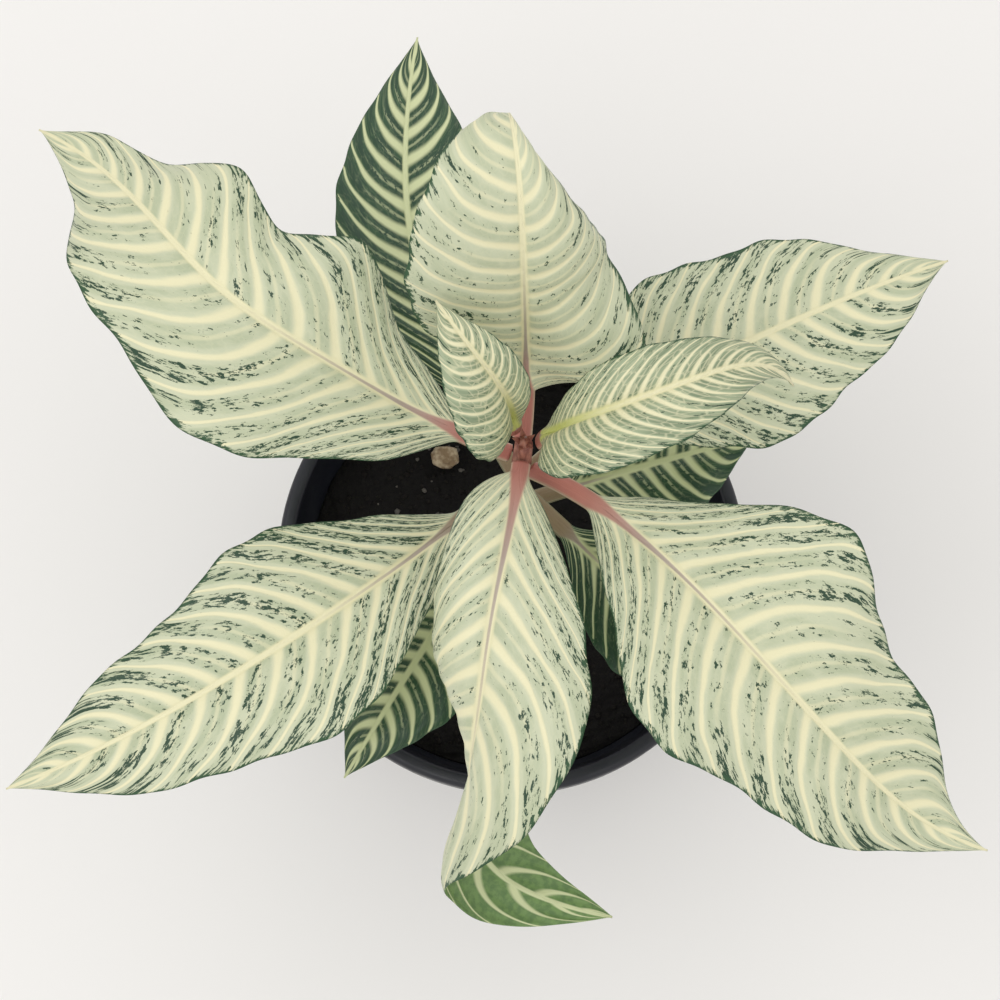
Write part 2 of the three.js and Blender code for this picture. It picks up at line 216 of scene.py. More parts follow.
def along(values, s):
    """Catmull-Rom curve through values set at even steps, read at every s in 0..1."""
    v = np.asarray(values, float)
    if len(v) == 1:
        return np.full_like(s, v[0])
    padded = np.concatenate(([2 * v[0] - v[1]], v, [2 * v[-1] - v[-2]]))
    last = len(v) - 1
    place = np.clip(s, 0, 1) * last
    i = np.minimum(place.astype(int), last - 1)
    f = place - i
    a, b, c, d = (padded[i + k] for k in range(4))
    return 0.5 * (
        2 * b + (c - a) * f + (2 * a - 5 * b + 4 * c - d) * f**2 + (3 * b - a - 3 * c + d) * f**3
    )


def grid_faces(rows, columns, around):
    """Quads of a grid of rows by columns points; around joins the last column to the first."""
    r = np.arange(rows - 1)[:, None]
    c = np.arange(columns if around else columns - 1)[None, :]
    after = (c + 1) % columns
    quads = np.stack(
        (r * columns + c, r * columns + after, (r + 1) * columns + after, (r + 1) * columns + c), -1
    )
    return quads.reshape(-1, 4)


def make_object(name, points, faces, closed_ends=0):
    """A smooth-shaded object from points and quads. closed_ends is the points in one ring where the
    first and last rings are closed by a face each."""
    mesh = bpy.data.meshes.new(name)
    polygons = faces.tolist()
    if closed_ends:
        count = len(points)
        polygons.append(list(range(closed_ends))[::-1])
        polygons.append(list(range(count - closed_ends, count)))
    mesh.from_pydata(points.tolist(), [], polygons)
    mesh.shade_smooth()
    mesh.update()
    piece = bpy.data.objects.new(name, mesh)
    bpy.context.scene.collection.objects.link(piece)
    return piece


def make_shell(name, points, closed=True):
    """A tube from a grid of points, a ring in each row, closed at both ends unless told not to."""
    rows, columns = points.shape[:2]
    faces = grid_faces(rows, columns, True)
    return make_object(name, points.reshape(-1, 3), faces, columns if closed else 0)


def add_vector(piece, name, values):
    """Stores one vector for each point of the piece."""
    attribute = piece.data.attributes.new(name, "FLOAT_VECTOR", "POINT")
    attribute.data.foreach_set("vector", values.astype(np.float32).ravel())


def add_uv(piece, uv):
    """Stores one UV for each point of the piece, spread to the corners of its faces."""
    layer = piece.data.uv_layers.new(name="UVMap")
    corners = np.empty(len(piece.data.loops), np.int64)
    piece.data.loops.foreach_get("vertex_index", corners)
    layer.data.foreach_set("uv", uv[corners].astype(np.float32).ravel())


def full_turn(count):
    """Angles at even steps round a circle."""
    return np.linspace(0, 2 * np.pi, count, endpoint=False)


def turned_points(profile, segments):
    """A profile of (radius, height) pairs carried round +Z; a row for each pair."""
    outline = np.asarray(profile, float)
    angle = full_turn(segments)
    x = outline[:, :1] * np.cos(angle)
    y = outline[:, :1] * np.sin(angle)
    z = np.repeat(outline[:, 1:], segments, 1)
    return np.stack((x, y, z), -1)


def finish_piece(piece, node, slot, *materials):
    """Gives the piece its materials, hangs it under the root and hides the node it replaces; slot is
    not used.
    """
    for material in materials:
        piece.data.materials.append(material)
    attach(piece, "root")
    if node:
        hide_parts(node)
    return piece


# ---- Stem line, shared by the stem and the leaves ------------------------------------------------


def stem_axis(z):
    """Middle of the stem at heights z in millimetres: a lean whose backward part is 1 - (1 - f)^2."""
    base, top = SOIL_TOP / MM, STEM_TOP / MM
    f = np.clip((np.asarray(z, float) - base) / (top - base), -0.1, 1.05)
    bend = np.where(f < 0, 2 * f, 1 - (1 - f) ** 2)
    return np.stack((STEM_LEAN[0] * f, STEM_LEAN[1] * bend, np.asarray(z, float)), -1)


def stem_radius(z):
    """Radius of the stem: thinner towards the top, with a swelling at each pair of leaves."""
    base, top = SOIL_TOP / MM, STEM_TOP / MM
    f = np.clip((np.asarray(z, float) - base) / (top - base), 0, 1)
    plain = STEM_BASE_RADIUS + (STEM_TOP_RADIUS - STEM_BASE_RADIUS) * f
    heights = sorted({leaf["height"] for leaf in LEAVES.values()})
    swell = np.max([np.exp(-(((z - h) / 3) ** 2)) for h in heights], axis=0)
    return plain + STEM_SWELLING * swell * (1 - f)


# ---- Leaves --------------------------------------------------------------------------------------

VEIN_SLANT = 0.09
VEIN_SWEEP = 0.15
RIGHT_VEIN_OFFSET = 0.4
OPENING = 0.12
PUFF = 0.45
YOUNG_PUFF = 0.6
DRIFT = 0.8
BLADE_HALF_THICKNESS = 0.25
MARGIN_HALF_THICKNESS = 0.05
LEAST_HALF_WIDTH = 0.3
GROOVE_DEPTH = 0.5
GROOVE_SPREAD = 1.3
RIB_DEPTH = 1.4
RIB_SPREAD = 1.5
VEIN_RIB_DEPTH = 0.3


def wave(part, u):
    """Share by which the margin's wave widens a half: one sine along the blade."""
    share, count, phase = part["wave"]
    return share * np.sin(2 * np.pi * (count * u + phase))


def half_width(part, u):
    """Width of a half: a sine up to its fullest place and a cosine down to the tip, each to a power,
    times its wave and a little unevenness, and never thinner than the stalk that fades to the tip."""
    up = np.sin(np.pi / 2 * np.clip(u / part["fullest"], 0, 1)) ** part["base"]
    down = np.cos(np.pi / 2 * np.clip((u - part["fullest"]) / (1 - part["fullest"]), 0, 1))
    outline = np.where(u < part["fullest"], up, np.maximum(down, 0) ** part["tip"])
    uneven = 1 + 0.012 * np.sin(41 * u + part["width"]) + 0.01 * np.sin(67 * u + 2 * part["width"])
    width = part["width"] * outline * (1 + wave(part, u)) * uneven
    return np.maximum(np.hypot(width, PETIOLE_HALF_WIDTH * (1 - u)), LEAST_HALF_WIDTH)


def vein_phase(u, t, veins, offset):
    """Counts the side veins: whole numbers on a vein. A vein leaves the midrib aslant and sweeps to the
    tip by the square of its way out, and the veins stand closer near the stalk."""
    x = u - (VEIN_SLANT * np.abs(t) + VEIN_SWEEP * t**2) * (1 - 0.4 * u)
    return veins * np.sign(x + 0.1) * np.abs(x + 0.1) ** 0.85 + offset


def leaf_surface(leaf, rings, steps):
    """Points of a leaf in metres, a ring of the section at each row, with its growth coordinates.

    The midrib is the sum of short steps along its heading. In a section, a half of width w starts at
    the cup angle a and bends by k, so it passes through w(sin(a + kt) - sin a)/k across and
    w(cos a - cos(a + kt))/k up. The blade puffs up between its veins, has a groove over the midrib
    and a rib below it, and closes round its margin."""
    s = np.linspace(0, 1, rings + 1)
    middles = (s[1:] + s[:-1]) / 2

    def heading(at):
        pitch = np.radians(along(leaf["rise"], at))
        turn = np.radians(leaf["azimuth"] + along(leaf["swing"], at))
        flat = np.cos(pitch)
        forward = np.stack((flat * np.cos(turn), flat * np.sin(turn), np.sin(pitch)), -1)
        left = np.stack((-np.sin(turn), np.cos(turn), np.zeros_like(turn)), -1)
        return forward, left, np.cross(forward, left)

    climb = max(math.sin(math.radians(leaf["rise"][0])), 0)
    reach = float(stem_radius(leaf["height"])) + 2 * GAP + PETIOLE_HALF_DEPTH * climb
    outward = math.radians(leaf["azimuth"])
    start = stem_axis(leaf["height"]) + reach * np.array((math.cos(outward), math.sin(outward), 0))
    steps_along = heading(middles)[0] * leaf["length"] / rings
    spine = start + np.vstack((np.zeros(3), np.cumsum(steps_along, 0)))

    u = np.clip((s - leaf["petiole"]) / (1 - leaf["petiole"]), 0, 1)
    blade = (s - leaf["petiole"]) / (1 - leaf["petiole"])
    opened = smooth(u, 0, OPENING)
    _, left, above = heading(s)
    roll = np.radians(along(leaf.get("roll", (0,)), u))[:, None]
    across = left * np.cos(roll) + above * np.sin(roll)
    upper = above * np.cos(roll) - left * np.sin(roll)

    t = np.linspace(1, -1, 2 * steps + 1)
    is_left = t >= 0

    def by_half(value):
        """A value of each half at every row, laid over that half's side of the section."""
        left_half, right_half = (value(leaf[k])[:, None] for k in ("left", "right"))
        return np.where(is_left, left_half, right_half)

    widths = by_half(lambda part: half_width(part, u))
    cup = (np.radians(along(leaf["cup"], u)) * opened)[:, None]
    bend = by_half(lambda part: np.radians(along(part["curl"], u)) * opened - 1e-4)
    lean = cup + bend * np.abs(t)
    x = widths * (np.sin(lean) - np.sin(cup)) / bend
    y = widths * (np.cos(cup) - np.cos(lean)) / bend
    y = y + by_half(lambda part: RUFFLE * part["width"] * wave(part, u) * np.sin(np.pi * u)) * t**2
    side = np.where(is_left, 1.0, -1.0)

    from_rib = np.abs(t) * widths
    phase = vein_phase(u[:, None], t, leaf["veins"], np.where(is_left, 0.0, RIGHT_VEIN_OFFSET))
    between = 0.5 - 0.5 * np.cos(2 * np.pi * phase)
    puff = (YOUNG_PUFF if leaf["kind"] == "young" else 1) * PUFF * between**0.7
    fade = (1 - np.exp(-((from_rib / 3) ** 2))) * (1 - smooth(np.abs(t), 0.8, 1.0)) * opened[:, None]
    drift = np.sin(7 * u[:, None] + leaf["azimuth"] + 2 * t) * np.sin(11 * u[:, None] - 3 * t)
    lift = (puff + DRIFT * drift * np.abs(t)) * fade

    normal = np.cos(lean)[..., None] * upper[:, None]
    normal = normal - (side * np.sin(lean))[..., None] * across[:, None]
    sheet = (
        spine[:, None] + (side * x)[..., None] * across[:, None] + y[..., None] * upper[:, None]
        + lift[..., None] * normal
    )
    stalk = PETIOLE_HALF_DEPTH * np.sqrt(np.maximum(1 - t**2, 0.01)) * (1 - opened[:, None])
    thin = BLADE_HALF_THICKNESS * np.sqrt(np.maximum(1 - t**8, 0))
    thin = np.maximum(thin, MARGIN_HALF_THICKNESS) * opened[:, None]
    rib_size = (1 - 0.8 * u)[:, None] * opened[:, None]
    groove = GROOVE_DEPTH * rib_size * np.exp(-((from_rib / GROOVE_SPREAD) ** 2))
    rib = RIB_DEPTH * rib_size * np.exp(-((from_rib / RIB_SPREAD) ** 2))
    vein_rib = VEIN_RIB_DEPTH * (1 - between) ** 6 * (1 - np.abs(t)) * opened[:, None]
    top = sheet + (stalk + thin - groove)[..., None] * normal
    bottom = sheet - (stalk + thin + rib + vein_rib)[..., None] * normal

    points = np.concatenate((top, bottom[:, ::-1]), 1) * MM
    place = np.stack(np.broadcast_arrays(phase, t, blade[:, None]), -1)
    travel = phase * leaf["length"] / leaf["veins"]
    run = np.stack(np.broadcast_arrays(travel, from_rib * side, 1.0), -1)
    under = run[:, ::-1] * np.array((1, 1, 0))
    return points, np.concatenate((place, place[:, ::-1]), 1), np.concatenate((run, under), 1)


def make_leaf(name, leaf, rings, steps, material):
    """One leaf with its stalk. Attribute place holds the vein count, the place across (1 to -1) and the
    place along the blade; attribute run holds millimetres along and across, and 1 on the upper side."""
    points, place, run = leaf_surface(leaf, rings, steps)
    rows, columns = points.shape[:2]
    piece = make_shell(name + "_blade", points)
    add_vector(piece, "place", place.reshape(-1, 3))
    add_vector(piece, "run", run.reshape(-1, 3))
    length_way = np.linspace(0, 1, rows)[:, None] * np.ones(columns)
    round_way = np.linspace(0, 1, columns)[None, :] * np.ones((rows, 1))
    add_uv(piece, np.stack((round_way, length_way), -1).reshape(-1, 2))
    return finish_piece(piece, name, leaf["kind"] + "_leaf", material)


# ---- Shader building -----------------------------------------------------------------------------


class Board:
    """A small workbench for one node tree: every method adds a node and returns its output socket."""

    def __init__(self, tree):
        self.tree = tree

    def node(self, kind, inputs=(), **settings):
        """Adds a node, sets its properties, and links or fills its inputs by name or number."""
        made = self.tree.nodes.new(kind)
        for key, value in settings.items():
            setattr(made, key, value)
        for key, value in dict(inputs).items():
            if isinstance(value, bpy.types.NodeSocket):
                self.tree.links.new(value, made.inputs[key])
            else:
                made.inputs[key].default_value = value
        return made

    def math(self, operation, a, b=0.0, clamp=False):
        """One scalar sum."""
        made = self.node("ShaderNodeMath", {0: a, 1: b}, operation=operation, use_clamp=clamp)
        return made.outputs[0]

    def ramp(self, value, low, high, start=0.0, end=1.0):
        """Smooth step of value from low to high, put out from start to end."""
        inputs = {"Value": value, "From Min": low, "From Max": high, "To Min": start, "To Max": end}
        made = self.node("ShaderNodeMapRange", inputs, interpolation_type="SMOOTHSTEP")
        return made.outputs["Result"]

    def mix(self, share, a, b):
        """Colour a turned into colour b by share."""
        return self.node("ShaderNodeMix", {0: share, 6: a, 7: b}, data_type="RGBA").outputs[2]

    def noise(self, where, scale, detail=4.0, roughness=0.55):
        """Noise value at a place."""
        inputs = {"Vector": where, "Scale": scale, "Detail": detail, "Roughness": roughness}
        return self.node("ShaderNodeTexNoise", inputs).outputs["Fac"]

    def combine(self, x=0.0, y=0.0, z=0.0):
        """A vector from three numbers."""
        return self.node("ShaderNodeCombineXYZ", {"X": x, "Y": y, "Z": z}).outputs[0]

    def split(self, vector):
        """The three numbers of a vector."""
        return self.node("ShaderNodeSeparateXYZ", {"Vector": vector}).outputs

    def put_out(self, leave, values):
        """Links a group's values to its outputs by name and returns its tree."""
        for label, value in values.items():
            self.tree.links.new(value, leave[label])
        return self.tree

    def times(self, a, b):
        """Product of two numbers."""
        return self.math("MULTIPLY", a, b)

    def where(self):
        """The place of a point in the piece's own space."""
        return self.node("ShaderNodeTexCoord").outputs["Object"]

    def attribute(self, name):
        """A vector stored on the piece."""
        return self.node("ShaderNodeAttribute", attribute_name=name).outputs["Vector"]

    def group(self, group, **inputs):
        """Places a node group with its own values and returns its outputs."""
        named = {key.replace("_", " "): value for key, value in inputs.items()}
        return self.node("ShaderNodeGroup", named, node_tree=group).outputs


def new_group(name, inputs, outputs):
    """The board of a new shader group, and the sockets of its two ends."""
    tree = bpy.data.node_groups.new(name, "ShaderNodeTree")
    for label, kind, default in inputs:
        socket = tree.interface.new_socket(label, in_out="INPUT", socket_type=kind)
        if default is not None:
            socket.default_value = default
    for label in outputs:
        tree.interface.new_socket(label, in_out="OUTPUT", socket_type="NodeSocketFloat")
    board = Board(tree)
    entry = tree.nodes.new("NodeGroupInput")
    leave = tree.nodes.new("NodeGroupOutput")
    return board, entry.outputs, leave.inputs


def vein_web_group():
    """Masks of the veins: side veins on whole counts, fainter ones half way between, the midrib, and
    a fine net. Height is what the surface gains between veins."""
    inputs = [
        ("Place", "NodeSocketVector", None), ("Run", "NodeSocketVector", None),
        ("Vein Width", "NodeSocketFloat", 0.14), ("Net", "NodeSocketFloat", 0.2),
    ]
    b, entry, leave = new_group("vein_web", inputs, ["Vein", "Twig", "Midrib", "Net", "Height"])
    count, across, blade = b.split(entry["Place"])
    out = b.split(entry["Run"])[1]
    reach = b.math("ABSOLUTE", across)
    wobble = b.times(b.math("SUBTRACT", b.noise(entry["Run"], 0.12, 2.0), 0.5), 0.22)
    near = b.math("PINGPONG", b.math("ADD", count, wobble), 0.5)
    edge = b.times(entry["Vein Width"], b.ramp(reach, 0.0, 1.0, 1.6, 0.6))
    vein = b.ramp(near, b.times(edge, 0.4), b.times(edge, 1.7), 1.0, 0.0)
    half_way = b.math("SUBTRACT", 0.5, near)
    twig = b.times(b.ramp(half_way, 0.02, 0.1, 1.0, 0.0), b.ramp(reach, 0.35, 0.8, 1.0, 0.0))
    leave_mid = b.math("SUBTRACT", 2.3, b.times(blade, 1.7))
    midrib = b.ramp(b.math("ABSOLUTE", out), b.times(leave_mid, 0.4), leave_mid, 1.0, 0.0)
    cells = b.node(
        "ShaderNodeTexVoronoi", {"Vector": entry["Run"], "Scale": 0.55}, feature="DISTANCE_TO_EDGE"
    ).outputs["Distance"]
    net = b.times(b.ramp(cells, 0.0, 0.12, 1.0, 0.0), entry["Net"])
    height = b.math("ADD", b.times(b.math("ADD", vein, midrib), -0.5), b.times(net, -0.6))
    masks = {"Vein": vein, "Twig": twig, "Midrib": midrib, "Net": net, "Height": height}
    return b.put_out(leave, masks)


def fleck_group():
    """Masks of the dark flecks, which gather in the stripes between veins, near the margin and near the
    stalk, and of the thin dark line round the margin. Shade is how dark the field is between veins."""
    inputs = [
        ("Place", "NodeSocketVector", None), ("Run", "NodeSocketVector", None),
        ("Amount", "NodeSocketFloat", 0.5), ("Seed", "NodeSocketFloat", 0.0),
    ]
    b, entry, leave = new_group("leaf_flecks", inputs, ["Fleck", "Margin", "Shade"])
    count, across, blade = b.split(entry["Place"])
    way, out, _ = b.split(entry["Run"])
    reach = b.math("ABSOLUTE", across)
    stripe = b.ramp(b.math("PINGPONG", count, 0.5), 0.13, 0.27)
    place = b.combine(way, b.times(out, 0.9), entry["Seed"])
    fine = b.noise(place, 0.7, 4.0, 0.72)
    broad = b.combine(way, b.times(out, 0.6), b.math("ADD", entry["Seed"], 7.0))
    patches = b.noise(broad, 0.13, 2.0)
    outer = b.ramp(reach, 0.15, 1.0, 0.0, 0.42)
    inner = b.ramp(blade, 0.0, 0.55, 0.2, 0.0)
    dense = b.math("ADD", b.math("ADD", outer, inner), b.times(entry["Amount"], 0.6))
    dense = b.math("ADD", dense, b.times(b.math("SUBTRACT", patches, 0.5), 1.5))
    dense = b.math("SUBTRACT", dense, b.times(b.math("SUBTRACT", 1.0, stripe), 0.9))
    span = {"Value": dense, "From Min": 0.0, "From Max": 1.0, "To Min": 0.67, "To Max": 0.47}
    cut = b.node("ShaderNodeMapRange", span).outputs["Result"]
    fleck = b.ramp(fine, cut, b.math("ADD", cut, 0.035))
    fleck = b.times(fleck, b.ramp(blade, 0.0, 0.05))
    from_edge = b.times(b.math("SUBTRACT", 1.0, reach), 30.0)
    ragged = b.math("ADD", from_edge, b.times(b.math("SUBTRACT", fine, 0.5), -9.0))
    margin = b.ramp(ragged, 0.5, 1.2, 1.0, 0.0)
    margin = b.times(margin, b.ramp(blade, -0.06, 0.02))
    shade = b.times(stripe, b.ramp(b.noise(place, 0.16, 3.0), 0.3, 0.65, 0.1, 1.0))
    return b.put_out(leave, {"Fleck": fleck, "Margin": margin, "Shade": shade})


def blush_group():
    """Mask of the pink stalk, which runs on as a narrowing line along the midrib. Fade grows
    from 0 to 1 as the line's colour turns duller."""
    inputs = [
        ("Place", "NodeSocketVector", None), ("Run", "NodeSocketVector", None),
        ("Reach", "NodeSocketFloat", 0.4),
    ]
    b, entry, leave = new_group("stalk_blush", inputs, ["Blush", "Fade"])
    blade = b.split(entry["Place"])[2]
    out = b.split(entry["Run"])[1]
    gone = b.math("DIVIDE", blade, entry["Reach"])
    width = b.times(b.math("POWER", b.math("SUBTRACT", 1.0, gone, True), 4.5), 2.7)
    width = b.math("ADD", width, 0.3)
    line = b.ramp(b.math("ABSOLUTE", out), b.times(width, 0.6), b.math("ADD", width, 0.25), 1.0, 0.0)
    blush = b.times(line, b.ramp(gone, 0.3, 1.5, 1.0, 0.0))
    return b.put_out(leave, {"Blush": blush, "Fade": b.ramp(gone, -0.1, 0.45)})


def grain_group():
    """Fine unevenness of a natural or moulded skin: a height and a mask, from two sizes of noise."""
    inputs = [("Where", "NodeSocketVector", None), ("Scale", "NodeSocketFloat", 400.0)]
    b, entry, leave = new_group("skin_grain", inputs, ["Height", "Mask"])
    coarse = b.noise(entry["Where"], entry["Scale"], 3.0)
    fine = b.noise(entry["Where"], b.times(entry["Scale"], 5.0), 2.0)
    height = b.math("ADD", coarse, b.times(fine, 0.4))
    return b.put_out(leave, {"Height": height, "Mask": b.ramp(coarse, 0.35, 0.65)})


GROUPS = {}


def group(name):
    """The named node group, built the first time that it is asked for."""
    makers = {
        "vein_web": vein_web_group, "leaf_flecks": fleck_group,
        "stalk_blush": blush_group, "skin_grain": grain_group,
    }
    if name not in GROUPS:
        GROUPS[name] = makers[name]()
    return GROUPS[name]


def new_material(name, roughness=0.5, specular=0.5):
    """An empty material with its board and its Principled shader."""
    material = bpy.data.materials.new(name)
    material.use_nodes = True
    shader = material.node_tree.nodes["Principled BSDF"]
    shader.inputs["Roughness"].default_value = roughness
    shader.inputs["Specular IOR Level"].default_value = specular
    return material, Board(material.node_tree), shader


def finish_skin(b, shader, colour, height, strength, distance, rough=None):
    """Links a colour, a bump of the given height, and any roughness to the shader."""
    b.tree.links.new(colour, shader.inputs["Base Color"])
    if rough is not None:
        b.tree.links.new(rough, shader.inputs["Roughness"])
    bump = b.node("ShaderNodeBump", {"Height": height, "Strength": strength, "Distance": distance})
    b.tree.links.new(bump.outputs["Normal"], shader.inputs["Normal"])


def shade(r, g, b):
    """A colour with full alpha, from linear red, green and blue."""
    return (r, g, b, 1.0)


LIME = shade(0.62, 0.66, 0.20)
SAGE = shade(0.38, 0.44, 0.28)
MOSS = shade(0.03, 0.085, 0.035)
TAUPE = shade(0.42, 0.35, 0.30)
BRIAR = shade(0.30, 0.22, 0.13)
UNDERSIDE = shade(0.17, 0.28, 0.09)
UNDER_VEIN = shade(0.62, 0.66, 0.38)
YOUNG_STALK_HEIGHT = 220


def leaf_kind(name, cream, mist, forest):
    """Colours and strengths of one kind of leaf. width is that of its veins."""
    return {
        "pale": {"vein": cream, "field": mist, "deep": SAGE, "net": 0.12, "width": 0.078, "blush": 0.4},
        "young": {"vein": cream, "field": SAGE, "deep": MOSS, "net": 0.5, "width": 0.11, "blush": 0.02},
        # green kind: dark field and pale green veins, partly the leaves' own green and partly painted
        # shade
        "green": {
            "vein": UNDER_VEIN, "field": MOSS, "deep": forest, "net": 0.1, "width": 0.12, "blush": 0.2,
        },
    }[name]


def leaf_material(name, leaf, seed, colours):
    """Blade: cream veins over a pale or green field, dark flecks and margin, a pink stalk line, and a
    green underside with pale veins. Green sets how far the field has darkened."""
    cream, mist, forest, rose = (
        tuple(colour) for colour in (colours.vein, colours.field, colours.fleck, colours.stalk)
    )
    kind = leaf_kind(leaf["kind"], cream, mist, forest)
    material, b, shader = new_material(name + "_skin", 0.42, 0.45)
    place, run = b.attribute("place"), b.attribute("run")
    web = b.group(group("vein_web"), Place=place, Run=run, Vein_Width=kind["width"], Net=kind["net"])
    spots = b.group(group("leaf_flecks"), Place=place, Run=run, Amount=leaf["flecks"], Seed=float(seed))
    pink = b.group(group("stalk_blush"), Place=place, Run=run, Reach=leaf.get("blush", kind["blush"]))
    grain = b.group(group("skin_grain"), Where=b.where(), Scale=500.0)
    # On the lower leaves of the green kind this darker field is partly painted shade from the leaves
    # above.
    share = b.times(spots["Shade"], 0.45 + 0.55 * leaf["green"])
    colour = b.mix(share, kind["field"], kind["deep"])
    colour = b.mix(b.times(web["Net"], 0.8), colour, kind["vein"])
    colour = b.mix(b.times(web["Twig"], 0.45), colour, kind["vein"])
    colour = b.mix(spots["Fleck"], colour, forest)
    colour = b.mix(web["Vein"], colour, kind["vein"])
    middle = kind["vein"]
    if leaf["kind"] == "young":
        middle = b.mix(b.ramp(b.split(place)[2], 0.0, 0.5), LIME, cream)
    colour = b.mix(web["Midrib"], colour, middle)
    colour = b.mix(spots["Margin"], colour, MOSS)
    stalk = rose if leaf["height"] > YOUNG_STALK_HEIGHT else BRIAR
    colour = b.mix(pink["Blush"], colour, b.mix(pink["Fade"], stalk, TAUPE))
    below = b.mix(b.times(grain["Mask"], 0.4), UNDERSIDE, MOSS)
    below = b.mix(b.math("MAXIMUM", web["Vein"], web["Midrib"]), below, UNDER_VEIN)
    below = b.mix(pink["Blush"], below, stalk)
    colour = b.mix(b.split(run)[2], below, colour)
    rough = b.math("ADD", 0.4, b.times(grain["Mask"], 0.1))
    height = b.math("ADD", web["Height"], b.times(grain["Height"], 0.25))
    finish_skin(b, shader, colour, height, 0.5, 0.0004, rough)
    return material


def plastic_material(black):
    """Black moulded plastic: satin, with a fine grain and pale scuffs."""
    material, b, shader = new_material("pot_plastic", 0.4, 0.5)
    where = b.where()
    grain = b.group(group("skin_grain"), Where=where, Scale=90.0)
    scuffs = b.ramp(b.noise(where, 260.0, 8.0, 0.8), 0.62, 0.8, 0.0, 0.5)
    colour = b.mix(scuffs, black, shade(0.07, 0.075, 0.09))
    rough = b.math("ADD", 0.34, b.times(grain["Mask"], 0.16))
    finish_skin(b, shader, colour, grain["Height"], 0.12, 0.0004, rough)
    return material


def soil_material(name, dark, light):
    """Damp peat: near-black with lighter fibres."""
    material, b, shader = new_material(name, 0.9, 0.25)
    where = b.where()
    grain = b.group(group("skin_grain"), Where=where, Scale=420.0)
    fibres = b.ramp(b.noise(where, 900.0, 6.0, 0.8), 0.6, 0.72)
    colour = b.mix(b.times(fibres, grain["Mask"]), dark, light)
    finish_skin(b, shader, colour, grain["Height"], 0.8, 0.001)
    return material


def bark_material():
    """Dry tan bark, mottled and rough."""
    material, b, shader = new_material("bark_lump", 0.85, 0.2)
    where = b.where()
    grain = b.group(group("skin_grain"), Where=where, Scale=350.0)
    colour = b.mix(grain["Mask"], shade(0.26, 0.18, 0.11), shade(0.55, 0.44, 0.31))
    finish_skin(b, shader, colour, grain["Height"], 0.9, 0.0008)
    return material


def stem_material():
    """Pink-brown stem skin with fine lengthwise streaks."""
    material, b, shader = new_material("stem_skin", 0.5, 0.4)
    where = b.where()
    stretched = b.node("ShaderNodeMapping", {"Vector": where, "Scale": (1.0, 1.0, 0.15)}).outputs[0]
    streaks = b.ramp(b.noise(stretched, 900.0, 4.0), 0.35, 0.65)
    colour = b.mix(streaks, shade(0.22, 0.075, 0.055), shade(0.40, 0.17, 0.12))
    finish_skin(b, shader, colour, streaks, 0.3, 0.0004)
    return material


def floor_material(colour):
    """Pale even studio floor with a very faint mottling."""
    material, b, shader = new_material("studio_floor", 0.9, 0.1)
    where = b.where()
    tone = b.mix(b.noise(where, 3.0, 2.0), colour, tuple(0.98 * c for c in colour[:3]) + (1.0,))
    b.tree.links.new(tone, shader.inputs["Base Color"])
    return material


# ---- Sizes and colours that a user would change --------------------------------------------------


class ZebraSizes(bpy.types.PropertyGroup):
    """Sizes of the plant's fine detail."""

    wall: bpy.props.FloatProperty(
        name="Pot wall", description="Thickness of the pot's wall", default=1.4 * MM,
        unit="LENGTH", min=0.5 * MM,
    )
    lip_width: bpy.props.FloatProperty(
        name="Lip width", description="Width of the flat top of the pot's lip", default=5 * MM,
        unit="LENGTH", min=2 * MM,
    )
    lip_depth: bpy.props.FloatProperty(
        name="Lip depth", description="Height of the pot's turned-out lip", default=9 * MM,
        unit="LENGTH", min=2 * MM,
    )
    rings: bpy.props.IntProperty(
        name="Leaf rings", description="Sections along a large leaf", default=230, min=20,
    )
    steps: bpy.props.IntProperty(
        name="Leaf steps", description="Points from midrib to margin in a large leaf",
        default=30, min=4,
    )
    crumbs: bpy.props.IntProperty(
        name="Soil crumbs", description="Loose crumbs lying on the soil", default=900, min=0,
    )


class ZebraColours(bpy.types.PropertyGroup):
    """Main colours of the plant and its pot."""

    pot: bpy.props.FloatVectorProperty(
        name="Pot", description="Black of the pot's plastic", subtype="COLOR", size=4,
        default=(0.012, 0.013, 0.02, 1.0), min=0.0, max=1.0,
    )
    vein: bpy.props.FloatVectorProperty(
        name="Veins", description="Cream of the veins in pale leaves", subtype="COLOR", size=4,
        default=(0.80, 0.76, 0.50, 1.0), min=0.0, max=1.0,
    )
    field: bpy.props.FloatVectorProperty(
        name="Field", description="Pale green between those veins", subtype="COLOR", size=4,
        default=(0.58, 0.61, 0.43, 1.0), min=0.0, max=1.0,
    )
    fleck: bpy.props.FloatVectorProperty(
        name="Flecks", description="Dark green of the flecks", subtype="COLOR", size=4,
        default=(0.018, 0.055, 0.026, 1.0), min=0.0, max=1.0,
    )
    stalk: bpy.props.FloatVectorProperty(
        name="Stalks", description="Pink of the upper leaves' stalks", subtype="COLOR", size=4,
        default=(0.48, 0.18, 0.14, 1.0), min=0.0, max=1.0,
    )


class ZebraStage(bpy.types.PropertyGroup):
    """The studio round the plant."""

    floor_colour: bpy.props.FloatVectorProperty(
        name="Floor colour", description="Colour of the studio floor", subtype="COLOR", size=4,
        default=(0.90, 0.885, 0.87, 1.0), min=0.0, max=1.0,
    )
    camera_distance: bpy.props.FloatProperty(
        name="Camera distance", description="From the camera to the middle of the pot's rim",
        default=0.7, unit="LENGTH", min=0.1,
    )
    camera_tilt: bpy.props.FloatProperty(
        name="Camera tilt", description="Lean of the camera from straight above, to the front",
        default=math.radians(11), subtype="ANGLE",
    )
    lens: bpy.props.FloatProperty(
        name="Lens", description="Focal length of the camera in millimetres", default=78.8, min=10,
    )


# ---- Operators -----------------------------------------------------------------------------------


